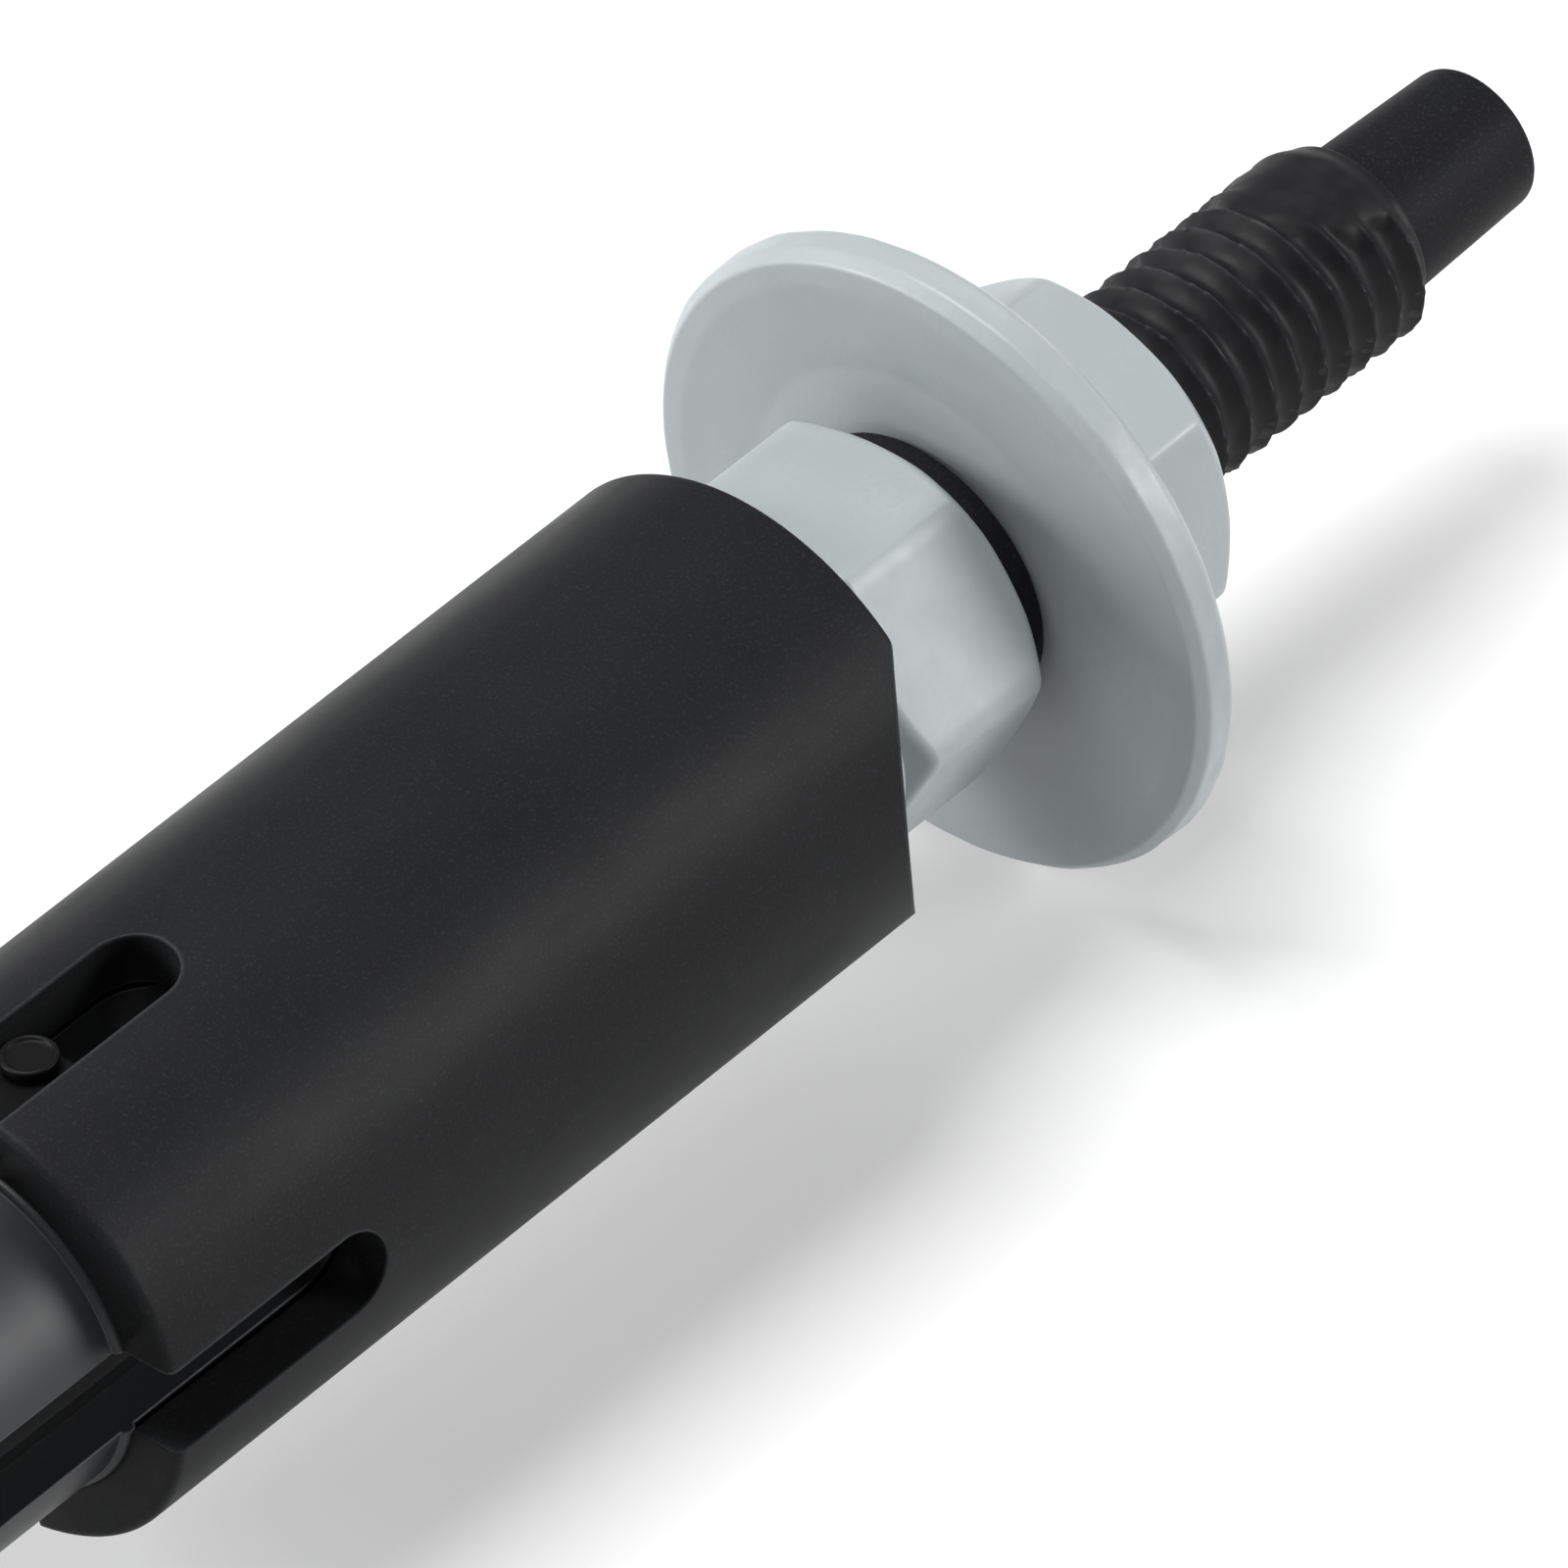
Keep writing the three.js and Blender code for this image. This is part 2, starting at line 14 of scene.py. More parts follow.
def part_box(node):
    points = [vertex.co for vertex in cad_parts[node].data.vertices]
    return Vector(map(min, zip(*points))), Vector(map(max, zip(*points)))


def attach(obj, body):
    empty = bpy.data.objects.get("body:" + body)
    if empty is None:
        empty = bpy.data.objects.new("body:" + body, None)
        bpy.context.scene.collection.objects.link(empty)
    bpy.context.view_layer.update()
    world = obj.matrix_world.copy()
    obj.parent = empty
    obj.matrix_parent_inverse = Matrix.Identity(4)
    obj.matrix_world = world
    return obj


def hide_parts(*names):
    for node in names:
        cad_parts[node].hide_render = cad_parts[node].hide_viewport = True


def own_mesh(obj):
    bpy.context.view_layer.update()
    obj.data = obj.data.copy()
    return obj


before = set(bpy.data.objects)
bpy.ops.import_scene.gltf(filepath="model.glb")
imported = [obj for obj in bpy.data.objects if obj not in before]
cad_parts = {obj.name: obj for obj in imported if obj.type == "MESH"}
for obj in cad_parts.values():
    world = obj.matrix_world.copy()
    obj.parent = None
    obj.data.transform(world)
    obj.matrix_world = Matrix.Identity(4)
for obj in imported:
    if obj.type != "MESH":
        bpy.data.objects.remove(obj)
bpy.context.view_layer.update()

MM = 0.001
SEGMENTS = 192
FINE_SEGMENTS = 480
FIT = 0.3 * MM
STROKE = 21.5 * MM


# ---- Places from the frame ----

def rear(node):
    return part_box(node)[0].x


def front(node):
    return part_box(node)[1].x


def radius(node):
    low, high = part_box(node)
    return (high.y - low.y) / 2


def middle(node):
    low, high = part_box(node)
    return (low + high) / 2


AXIS_Z = middle("plunger_rod").z
BARREL_RADIUS = radius("front_barrel")
TUBE_RADIUS = radius("rear_tube")
TUBE_BORE = TUBE_RADIUS - 2.2 * MM
BARREL_BORE = TUBE_RADIUS + FIT
ROD_RADIUS = radius("plunger_rod")
SLOT_WIDTH = 4.2 * MM
SCALLOP_RADIUS = 10.7 * MM
SCALLOP_DEPTH = 3 * MM
STEM_RADIUS = 4.7 * MM
HEX_CORNER = 8.89 * MM
SLOT_TIP = rear("front_barrel") + 12.5 * MM
SIDE_SLOT_REAR = SLOT_TIP - 40 * MM
TOP_SLOT_REAR = rear("release_lever") - 3 * MM


# ---- Mesh making ----

def mixed(a, b, share):
    return a + (b - a) * share


def soft_min(a, b, blend):
    """The smaller of two lengths, with the change from one to the other rounded off."""
    overlap = max(blend - abs(a - b), 0) / blend
    return min(a, b) - overlap * overlap * blend / 4


def rounded(corners, steps=6, closed=True):
    """The points of an outline whose (x, r, fillet) corners are rounded by their fillets."""
    points = []
    count = len(corners)
    for i, (x, r, fillet) in enumerate(corners):
        here = Vector((x, r))
        if not fillet or (not closed and i in (0, count - 1)):
            points.append(here)
            continue
        before = Vector(corners[i - 1][:2]) - here
        after = Vector(corners[(i + 1) % count][:2]) - here
        half_angle = before.angle(after) / 2
        reach = min(fillet / math.tan(half_angle), before.length * 0.49, after.length * 0.49)
        start = here + before.normalized() * reach
        end = here + after.normalized() * reach
        for step in range(steps + 1):
            t = step / steps
            points.append(start * (1 - t) ** 2 + here * 2 * t * (1 - t) + end * t * t)
    return points


def densified(points, longest, closed=True):
    """The same outline with points added so that no stretch is longer than given."""
    dense = []
    pairs = list(zip(points, points[1:] + points[:1]))
    for a, b in pairs if closed else pairs[:-1]:
        steps = max(1, math.ceil((b - a).length / longest))
        dense += [a.lerp(b, step / steps) for step in range(steps)]
    if not closed:
        dense.append(points[-1])
    return dense


def round_axis(x, r, angle):
    return Vector((x, -r * math.sin(angle), AXIS_Z + r * math.cos(angle)))


def finished_mesh(name, vertices, faces, sharp=35):
    """A clean smooth-shaded mesh with its faces pointing out."""
    mesh = bpy.data.meshes.new(name)
    mesh.from_pydata([tuple(v) for v in vertices], [], faces)
    bm = bmesh.new()
    bm.from_mesh(mesh)
    bmesh.ops.remove_doubles(bm, verts=bm.verts, dist=1e-7)
    bmesh.ops.dissolve_degenerate(bm, edges=bm.edges, dist=1e-8)
    bmesh.ops.recalc_face_normals(bm, faces=bm.faces)
    bm.to_mesh(mesh)
    bm.free()
    mesh.shade_smooth()
    mesh.set_sharp_from_angle(angle=math.radians(sharp))
    return mesh


def turned(name, points, segments=SEGMENTS, shape=None, closed=True):
    """A solid of revolution. shape(x, r, angle) may change each point's radius."""
    vertices = []
    faces = []
    for x, r in points:
        for k in range(segments):
            angle = 2 * math.pi * k / segments
            vertices.append(round_axis(x, shape(x, r, angle) if shape and r > 0 else r, angle))
    rings = len(points)
    for i in range(rings if closed else rings - 1):
        here = i * segments
        there = (i + 1) % rings * segments
        for k in range(segments):
            after = (k + 1) % segments
            faces.append((here + k, here + after, there + after, there + k))
    return finished_mesh(name, vertices, faces)


def slot_half_width(x, slot):
    """Half the width of a round-ended slot at x."""
    _, slot_rear, slot_front = slot
    half = SLOT_WIDTH / 2
    past = max(x - (slot_front - half), (slot_rear + half) - x, 0)
    return math.sqrt(max(half * half - past * past, 0))


def slotted_tube(name, stations, slots, per_quarter=48):
    """A tube with one slot at each quarter. Stations are (x, outer radius, inner radius)."""
    vertices = []
    faces = []
    quarters = len(slots)

    def index(i, side, quarter, k):
        return ((i * 2 + side) * quarters + quarter) * (per_quarter + 1) + k

    for x, outer, inner in stations:
        for r in (outer, inner):
            for q in range(quarters):
                following = (q + 1) % quarters
                start = slots[q][0] + math.asin(slot_half_width(x, slots[q]) / r)
                end = slots[q][0] + math.tau / quarters
                end -= math.asin(slot_half_width(x, slots[following]) / r)
                for k in range(per_quarter + 1):
                    vertices.append(round_axis(x, r, mixed(start, end, k / per_quarter)))
    last = len(stations) - 1
    for q in range(quarters):
        for k in range(per_quarter):
            for i in range(last):
                for side in (0, 1):
                    faces.append((index(i, side, q, k), index(i, side, q, k + 1),
                                  index(i + 1, side, q, k + 1), index(i + 1, side, q, k)))
            for i in (0, last):
                faces.append((index(i, 0, q, k), index(i, 0, q, k + 1),
                              index(i, 1, q, k + 1), index(i, 1, q, k)))
        for i in range(last):
            for k, slot in ((0, slots[q]), (per_quarter, slots[(q + 1) % quarters])):
                widths = [slot_half_width(stations[j][0], slot) for j in (i, i + 1)]
                if max(widths) > 1e-9:
                    faces.append((index(i, 0, q, k), index(i + 1, 0, q, k),
                                  index(i + 1, 1, q, k), index(i, 1, q, k)))
    return finished_mesh(name, vertices, faces)


def slot_end_places(end, direction, steps=14):
    """The places along the axis that follow a slot's round end."""
    half = SLOT_WIDTH / 2
    centre = end - direction * half
    return [centre + direction * half * math.sin(math.pi / 2 * i / steps) for i in range(steps + 1)]


def plate(name, outline, width, bevel, segments=3):
    """A side view in (x, z) made into a plate across the middle plane, with rounded edges."""
    bm = bmesh.new()
    side = [bm.verts.new((x, -width / 2, z)) for x, z in outline]
    face = bm.faces.new(side)
    made = bmesh.ops.extrude_face_region(bm, geom=[face])
    moved = [v for v in made["geom"] if isinstance(v, bmesh.types.BMVert)]
    bmesh.ops.translate(bm, verts=moved, vec=(0, width, 0))
    bmesh.ops.recalc_face_normals(bm, faces=bm.faces)
    edges = [e for e in bm.edges if e.calc_face_angle(0) > math.radians(40)]
    bmesh.ops.bevel(bm, geom=edges, offset=bevel, segments=segments, profile=0.5, affect="EDGES")
    mesh = bpy.data.meshes.new(name)
    bm.to_mesh(mesh)
    bm.free()
    mesh.shade_smooth()
    mesh.set_sharp_from_angle(angle=math.radians(35))
    return mesh


def cut_away(mesh, cutter_mesh):
    """Cuts one mesh out of another and keeps the shading smooth."""
    body = bpy.data.objects.new("cut_body", mesh)
    cutter = bpy.data.objects.new("cut_tool", cutter_mesh)
    for obj in (body, cutter):
        bpy.context.scene.collection.objects.link(obj)
    boolean = body.modifiers.new("cut", "BOOLEAN")
    boolean.operation = "DIFFERENCE"
    boolean.object = cutter
    bpy.context.view_layer.update()
    depsgraph = bpy.context.evaluated_depsgraph_get()
    result = bpy.data.meshes.new_from_object(body.evaluated_get(depsgraph))
    result.name = mesh.name
    for obj in (body, cutter):
        bpy.data.objects.remove(obj)
    result.shade_smooth()
    result.set_sharp_from_angle(angle=math.radians(35))
    return result


def block(low, high):
    """A plain box between two corners, used as a cutter."""
    bm = bmesh.new()
    size = Vector(high) - Vector(low)
    place = Matrix.Translation((Vector(low) + Vector(high)) / 2) @ Matrix.Diagonal((*size, 1))
    bmesh.ops.create_cube(bm, size=1, matrix=place)
    mesh = bpy.data.meshes.new("block")
    bm.to_mesh(mesh)
    bm.free()
    return mesh


def crosswise(r, length, x, z, segments=256):
    """A plain round bar across the pump, used as a cutter."""
    bm = bmesh.new()
    place = Matrix.Translation((x, 0, z)) @ Matrix.Rotation(math.pi / 2, 4, "X")
    bmesh.ops.create_cone(bm, cap_ends=True, segments=segments, radius1=r, radius2=r,
                          depth=length, matrix=place)
    mesh = bpy.data.meshes.new("crosswise")
    bm.to_mesh(mesh)
    bm.free()
    return mesh


def hexed(start, apothem, turn, flare=0.4 * MM, blend=0.35 * MM):
    """A shape for turned(): past start, the radius is held inside a hexagon with soft corners."""
    corner = apothem / math.cos(math.pi / 6)

    def shape(x, r, angle):
        if x <= start:
            return r
        local = (math.degrees(angle) - turn) % 60 - 30
        flat = soft_min(apothem / math.cos(math.radians(local)), corner - 0.1 * MM, blend)
        near = max(flare - (x - start), 0)
        limit = flat + flare - math.sqrt(flare * flare - near * near)
        return soft_min(r, limit, blend)

    return shape


# ---- Materials ----

def add_node(tree, kind, inputs=None, **settings):
    made = tree.nodes.new(kind)
    for key, value in settings.items():
        setattr(made, key, value)
    for key, value in (inputs or {}).items():
        if isinstance(value, bpy.types.NodeSocket):
            tree.links.new(value, made.inputs[key])
        else:
            made.inputs[key].default_value = value
    return made


def product(tree, a, b):
    return add_node(tree, "ShaderNodeMath", {0: a, 1: b}, operation="MULTIPLY").outputs[0]


def new_surface(name, **uniform):
    """A material, its node tree and its shader, with the uniform values set on the shader."""
    material = bpy.data.materials.new(name)
    material.use_nodes = True
    tree = material.node_tree
    shader = tree.nodes["Principled BSDF"]
    for key, value in uniform.items():
        shader.inputs[key.replace("_", " ")].default_value = value
    return material, tree, shader


def noise_at(tree, size, detail=3.0, stretch=(1, 1, 1), roughness=0.5):
    """Noise whose patches are about size metres across, longer where stretch is above 1."""
    where = add_node(tree, "ShaderNodeTexCoord").outputs["Object"]
    scale = tuple(1 / (size * s) for s in stretch)
    placed = add_node(tree, "ShaderNodeMapping", {"Vector": where, "Scale": scale})
    inputs = {"Vector": placed.outputs[0], "Scale": 1.0, "Detail": detail, "Roughness": roughness}
    return add_node(tree, "ShaderNodeTexNoise", inputs).outputs["Fac"]


def mapped(tree, value, low, high, to_low=0.0, to_high=1.0):
    inputs = {"Value": value, "From Min": low, "From Max": high, "To Min": to_low, "To Max": to_high}
    return add_node(tree, "ShaderNodeMapRange", inputs).outputs[0]


def blended(tree, share, a, b):
    """Colour a, going to colour b as share goes from 0 to 1."""
    mix = add_node(tree, "ShaderNodeMix", data_type="RGBA")
    tree.links.new(share, mix.inputs["Factor"])
    for socket, colour in ((mix.inputs[6], a), (mix.inputs[7], b)):
        if isinstance(colour, bpy.types.NodeSocket):
            tree.links.new(colour, socket)
        else:
            socket.default_value = (*colour, 1)
    return mix.outputs[2]


def edge_mask(tree, width):
    """1 on edges that stand proud, within width of the corner, and 0 elsewhere."""
    soft = add_node(tree, "ShaderNodeBevel", {"Radius": width}, samples=6).outputs[0]
    plain = add_node(tree, "ShaderNodeNewGeometry").outputs["Normal"]
    alike = add_node(tree, "ShaderNodeVectorMath", {0: soft, 1: plain}, operation="DOT_PRODUCT")
    return mapped(tree, alike.outputs["Value"], 0.995, 0.8)


def crest_mask(tree, low, high):
    """0 on the flanks of ribs, going to 1 on their crests. It needs a closely divided mesh."""
    sharpness = add_node(tree, "ShaderNodeNewGeometry").outputs["Pointiness"]
    return mapped(tree, sharpness, low, high)


def bumped(tree, layers, normal=None):
    """Adds bump layers of (height, depth in metres) one on another."""
    for height, depth in layers:
        inputs = {"Height": height, "Strength": 1.0, "Distance": depth}
        if normal is not None:
            inputs["Normal"] = normal
        normal = add_node(tree, "ShaderNodeBump", inputs).outputs[0]
    return normal


def scaled(colour, share):
    return tuple(channel * share for channel in colour)


def moulded_plastic(name, colour, gloss, speckle=0.0, grain=1.5e-6, edge=0.15 * MM, mottle=0.08, shine=0.5,
                    edge_highlight_gain=2):
    """Moulded plastic with a fine grain, faint clouds of colour and a painted highlight along its proud
    edges.
    """
    material, tree, shader = new_surface(name, Specular_IOR_Level=shine)
    clouds = mapped(tree, noise_at(tree, 6 * MM, 4), 0.3, 0.7)
    base = blended(tree, clouds, scaled(colour, 1 - mottle), scaled(colour, 1 + mottle))
    dots = mapped(tree, noise_at(tree, 0.14 * MM, 1), 0.56, 0.72, 0, speckle)
    base = blended(tree, dots, base, scaled(colour, 3.5))
    # Proud edges go towards a brighter copy of the colour: a painted highlight along them.
    painted_highlight = edge_mask(tree, edge)
    base = blended(tree, product(tree, painted_highlight, 0.4), base, scaled(colour, edge_highlight_gain))
    tree.links.new(base, shader.inputs["Base Color"])
    patches = noise_at(tree, 2.5 * MM, 5, (3, 1, 1))
    tree.links.new(mapped(tree, patches, 0.25, 0.75, gloss - 0.05, gloss + 0.05), shader.inputs["Roughness"])
    soft = add_node(tree, "ShaderNodeBevel", {"Radius": edge}, samples=6).outputs[0]
    layers = [(noise_at(tree, 0.2 * MM, 3), grain), (noise_at(tree, 3 * MM, 2), grain * 4)]
    tree.links.new(bumped(tree, layers, soft), shader.inputs["Normal"])
    return material


def pale_plastic():
    """Light grey moulded nylon: semi-gloss, faintly cloudy, with flow marks and a painted highlight along
    its proud edges.
    """
    colour = (0.325, 0.355, 0.361)
    material, tree, shader = new_surface("pale_plastic", Specular_IOR_Level=0.4)
    clouds = mapped(tree, noise_at(tree, 5 * MM, 2), 0.3, 0.7)
    base = blended(tree, clouds, scaled(colour, 0.95), scaled(colour, 1.04))
    grain = mapped(tree, noise_at(tree, 0.3 * MM, 2), 0.35, 0.65)
    base = blended(tree, grain, scaled(colour, 0.98), base)
    # Proud edges are lightened: a painted highlight on the hexagons' corners and the flange's rim.
    painted_highlight = product(tree, edge_mask(tree, 0.2 * MM), 0.6)
    base = blended(tree, painted_highlight, base, scaled(colour, 1.3))
    tree.links.new(base, shader.inputs["Base Color"])
    polish = mapped(tree, noise_at(tree, 1.5 * MM, 5), 0.3, 0.7, 0.36, 0.46)
    tree.links.new(polish, shader.inputs["Roughness"])
    layers = [(noise_at(tree, 0.25 * MM, 3), 1.5e-6), (noise_at(tree, 2.5 * MM, 2), 12e-6)]
    tree.links.new(bumped(tree, layers), shader.inputs["Normal"])
    return material


def rubber(name, colour, gloss=0.55, grain=3e-6):
    """Black rubber with a dusty bloom, a fine matt grain and crests lightened partly by a painted highlight,
    partly by dust.
    """
    material, tree, shader = new_surface(name, Specular_IOR_Level=0.14)
    bloom = mapped(tree, noise_at(tree, 1.2 * MM, 6), 0.45, 0.75)
    base = blended(tree, bloom, colour, scaled(colour, 1.5))
    # Rib crests are lightened: partly a painted highlight, partly dust, as the dust noise breaks the line
    # up.
    dust = mapped(tree, noise_at(tree, 0.16 * MM, 2), 0.4, 0.65, 0.4, 1)
    painted_highlight = product(tree, crest_mask(tree, 0.52, 0.57), dust)
    base = blended(tree, painted_highlight, base, scaled(colour, 3.5))
    tree.links.new(base, shader.inputs["Base Color"])
    tree.links.new(mapped(tree, bloom, 0, 1, gloss - 0.06, gloss + 0.1), shader.inputs["Roughness"])
    layers = [(noise_at(tree, 0.12 * MM, 4), grain), (noise_at(tree, 0.8 * MM, 3), grain * 3)]
    tree.links.new(bumped(tree, layers), shader.inputs["Normal"])
    return material


def metal(name, colour, gloss, stretch=(0.06, 1, 1)):
    """Turned or drawn metal: fine lines, uneven polish and bright edges."""
    material, tree, shader = new_surface(name, Metallic=1.0)
    lines = noise_at(tree, 0.9 * MM, 5, stretch, 0.65)
    stain = mapped(tree, noise_at(tree, 4 * MM, 4), 0.35, 0.7)
    base = blended(tree, stain, colour, scaled(colour, 0.8))
    base = blended(tree, edge_mask(tree, 0.1 * MM), base, scaled(colour, 1.25))
    tree.links.new(base, shader.inputs["Base Color"])
    tree.links.new(mapped(tree, lines, 0.3, 0.7, gloss - 0.08, gloss + 0.12), shader.inputs["Roughness"])
    soft = add_node(tree, "ShaderNodeBevel", {"Radius": 0.08 * MM}, samples=6).outputs[0]
    tree.links.new(bumped(tree, [(lines, 2e-6)], soft), shader.inputs["Normal"])
    return material


# Each plastic's edge factor below sets how bright the painted highlight on its proud edges is: the barrel's
# finger ends, the tube's bead and the latch pin's rim.
BARREL_BLACK = moulded_plastic("barrel_black", (0.0115, 0.0119, 0.0128), 0.46, speckle=0.22,
                              edge=0.3 * MM, shine=0.07, edge_highlight_gain=8)
TUBE_BLACK = moulded_plastic("tube_black", (0.022, 0.023, 0.025), 0.42, grain=0.8e-6, shine=0.3, edge_highlight_gain=6)
NOZZLE_BLACK = moulded_plastic("nozzle_black", (0.009, 0.0092, 0.0104), 0.55, speckle=0.4, shine=0.07)
KNOB_BLACK = moulded_plastic("knob_black", (0.0125, 0.0129, 0.0135), 0.46, speckle=0.3,
                             edge=0.3 * MM, shine=0.14, edge_highlight_gain=3)
LEVER_BLACK = moulded_plastic("lever_black", (0.0045, 0.0045, 0.005), 0.4, edge=0.12 * MM, shine=0.1, edge_highlight_gain=14)
PALE = pale_plastic()
PAD_PALE = moulded_plastic("pad_pale", (0.4, 0.435, 0.44), 0.32, mottle=0.04, edge_highlight_gain=1.4)
PISTON_PALE = moulded_plastic("piston_pale", (0.5, 0.52, 0.5), 0.4, mottle=0.04)
SLEEVE_RUBBER = rubber("sleeve_rubber", (0.0092, 0.0092, 0.0102), 0.52)
GRIP_RUBBER = rubber("grip_rubber", (0.009, 0.009, 0.0092), 0.6)
SEAL_RUBBER = rubber("seal_rubber", (0.006, 0.006, 0.006), 0.4, 1e-6)
STEEL = metal("steel", (0.56, 0.56, 0.57), 0.28)
SPRING_STEEL = metal("spring_steel", (0.35, 0.35, 0.37), 0.3, (1, 1, 1))
BRASS = metal("brass", (0.62, 0.46, 0.2), 0.3)


# ---- Pieces ----

def add_piece(node, mesh, material, body="housing"):
    """Puts a fine mesh in the place of a CAD node of the given body."""
    obj = bpy.data.objects.new(f"{node}_fine", mesh)
    bpy.context.scene.collection.objects.link(obj)
    mesh.materials.clear()
    mesh.materials.append(material)
    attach(obj, body)
    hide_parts(node)
    return obj


def slots_at(rears):
    quarter = math.tau / len(rears)
    return [(i * quarter, slot_rear, SLOT_TIP) for i, slot_rear in enumerate(rears)]


def edge_arc(x, r, fillet, direction, steps=6):
    """Stations' (x, outer radius) round a tube's end edge, from the side to the end face."""
    points = []
    for step in range(steps + 1):
        turn = math.pi / 2 * step / steps
        points.append((x - direction * fillet * (1 - math.sin(turn)), r - fillet * (1 - math.cos(turn))))
    return points


def make_barrel():
    """The barrel, with a hollow in each side of its front edge."""
    start, end = rear("front_barrel"), front("front_barrel")
    rear_edge = edge_arc(start, BARREL_RADIUS, 0.4 * MM, -1)
    front_edge = edge_arc(end, BARREL_RADIUS, 0.3 * MM, 1)
    places = [(x, BARREL_RADIUS) for x in slot_end_places(SLOT_TIP, 1)]
    outline = rear_edge[::-1] + places + front_edge
    stations = [(x, r, BARREL_BORE) for x, r in outline]
    past_rear = start - SLOT_WIDTH
    mesh = slotted_tube("front_barrel_fine", stations, slots_at([past_rear] * 4))
    hollow_at = end + SCALLOP_RADIUS - SCALLOP_DEPTH
    hollows = crosswise(SCALLOP_RADIUS, BARREL_RADIUS * 3, hollow_at, AXIS_Z)
    add_piece("front_barrel", cut_away(mesh, hollows), BARREL_BLACK)


def make_rear_tube():
    """The thin tube, slotted in line with the barrel, with a bead where it leaves the barrel."""
    start, end = rear("rear_tube"), front("rear_tube")
    places = [start, *slot_end_places(TOP_SLOT_REAR, -1)[::-1], *slot_end_places(SIDE_SLOT_REAR, -1)[::-1]]
    places += [*slot_end_places(SLOT_TIP - FIT, 1), end]
    bead = rear("front_barrel")
    rise = 0.28 * MM
    half_width = rise * 1.2
    places += [bead + half_width * math.cos(math.pi * step / 10) for step in range(11)]
    stations = []
    for x in sorted(set(places)):
        near = max(1 - ((x - bead) / half_width) ** 2, 0)
        stations.append((x, TUBE_RADIUS + rise * math.sqrt(near), TUBE_BORE))
    rears = [TOP_SLOT_REAR] + [SIDE_SLOT_REAR] * 3
    mesh = slotted_tube("rear_tube_fine", stations, slots_at(rears))
    add_piece("rear_tube", mesh, TUBE_BLACK)


def make_plug():
    """The hexagonal plug, from its spigot inside the barrel to the nozzle's seat in front."""
    start = front("front_barrel") + FIT
    spigot, end = rear("barrel_plug"), front("barrel_plug")
    apothem, corner, turn = 7.7 * MM, HEX_CORNER, 30
    bore, airway, recess = STEM_RADIUS + FIT, 2 * MM, 4 * MM
    seat = end - 7 * MM
    outline = rounded([
        (spigot, recess, 0),
        (spigot, BARREL_BORE - FIT, 0.2 * MM),
        (start - 0.25 * MM, BARREL_BORE - FIT, 0.2 * MM),
        (start, 7.3 * MM, 0),
        (start + 0.15 * MM, 7.5 * MM, 0.1 * MM),
        (start + 1.25 * MM, corner + 0.02 * MM, 0.1 * MM),
        (end - 1 * MM, corner + 0.02 * MM, 0.4 * MM),
        (end - 0.05 * MM, corner - 1.2 * MM, 0.5 * MM),
        (end, corner - 1.6 * MM, 0.2 * MM),
        (end, bore, 0.2 * MM),
        (seat, bore, 0),
        (seat, airway, 0),
        (spigot + 2 * MM, airway, 0),
        (spigot + 2 * MM, recess, 0),
    ])
    points = densified(outline, 0.2 * MM)
    hexagon = hexed(start - 0.01 * MM, apothem, turn, 0.01 * MM)
    mesh = turned("barrel_plug_fine", points, FINE_SEGMENTS, hexagon)
    add_piece("barrel_plug", mesh, PALE)


def make_guard():
    """The flange and, in front of it, the second hexagon with the sleeve's bore."""
    start, end = rear("finger_guard"), front("finger_guard")
    outer = radius("finger_guard") - 0.01 * MM
    thickness = 2.4 * MM
    face = start + thickness
    apothem, corner, turn = 7.8 * MM, HEX_CORNER + 0.1 * MM, 55
    waviness = 0.05 * MM
    bore = STEM_RADIUS + FIT
    sleeve_bore = 5.15 * MM
    step = rear("nozzle_sleeve") - FIT
    outline = rounded([
        (start + 0.15 * MM, bore, 0),
        (start + 0.15 * MM, 6.9 * MM, 0.2 * MM),
        (start + 0.25 * MM, 9.5 * MM, 0),
        (start, outer - 1.6 * MM, 0),
        (start + 0.05 * MM, outer - 0.55 * MM, 0.35 * MM),
        (start + 0.6 * MM, outer - 0.08 * MM, 0.4 * MM),
        (face - 0.55 * MM, outer, 0.45 * MM),
        (face, outer - 0.6 * MM, 0.3 * MM),
        (face, corner + 0.4 * MM, 0),
        (face + 0.02 * MM, corner + 0.4 * MM, 0),
        (end - 1.1 * MM, corner + 0.02 * MM, 0.6 * MM),
        (end - 0.1 * MM, corner - 1.2 * MM, 0.6 * MM),
        (end, corner - 1.7 * MM, 0.3 * MM),
        (end, sleeve_bore, 0.3 * MM),
        (step, sleeve_bore, 0),
        (step, bore, 0),
    ])
    points = densified(outline, 0.2 * MM)
    hexagon = hexed(face + 0.01 * MM, apothem, turn, 0.5 * MM)

    def shape(x, r, angle):
        r = hexagon(x, r, angle)
        if r < outer - MM or x > face:
            return r
        share = (r - outer + MM) / MM
        return r - share * waviness * (0.5 + noise.noise(round_axis(x * 2, r, angle) / (1.6 * MM)))

    add_piece("finger_guard", turned("finger_guard_fine", points, FINE_SEGMENTS, shape), PALE)


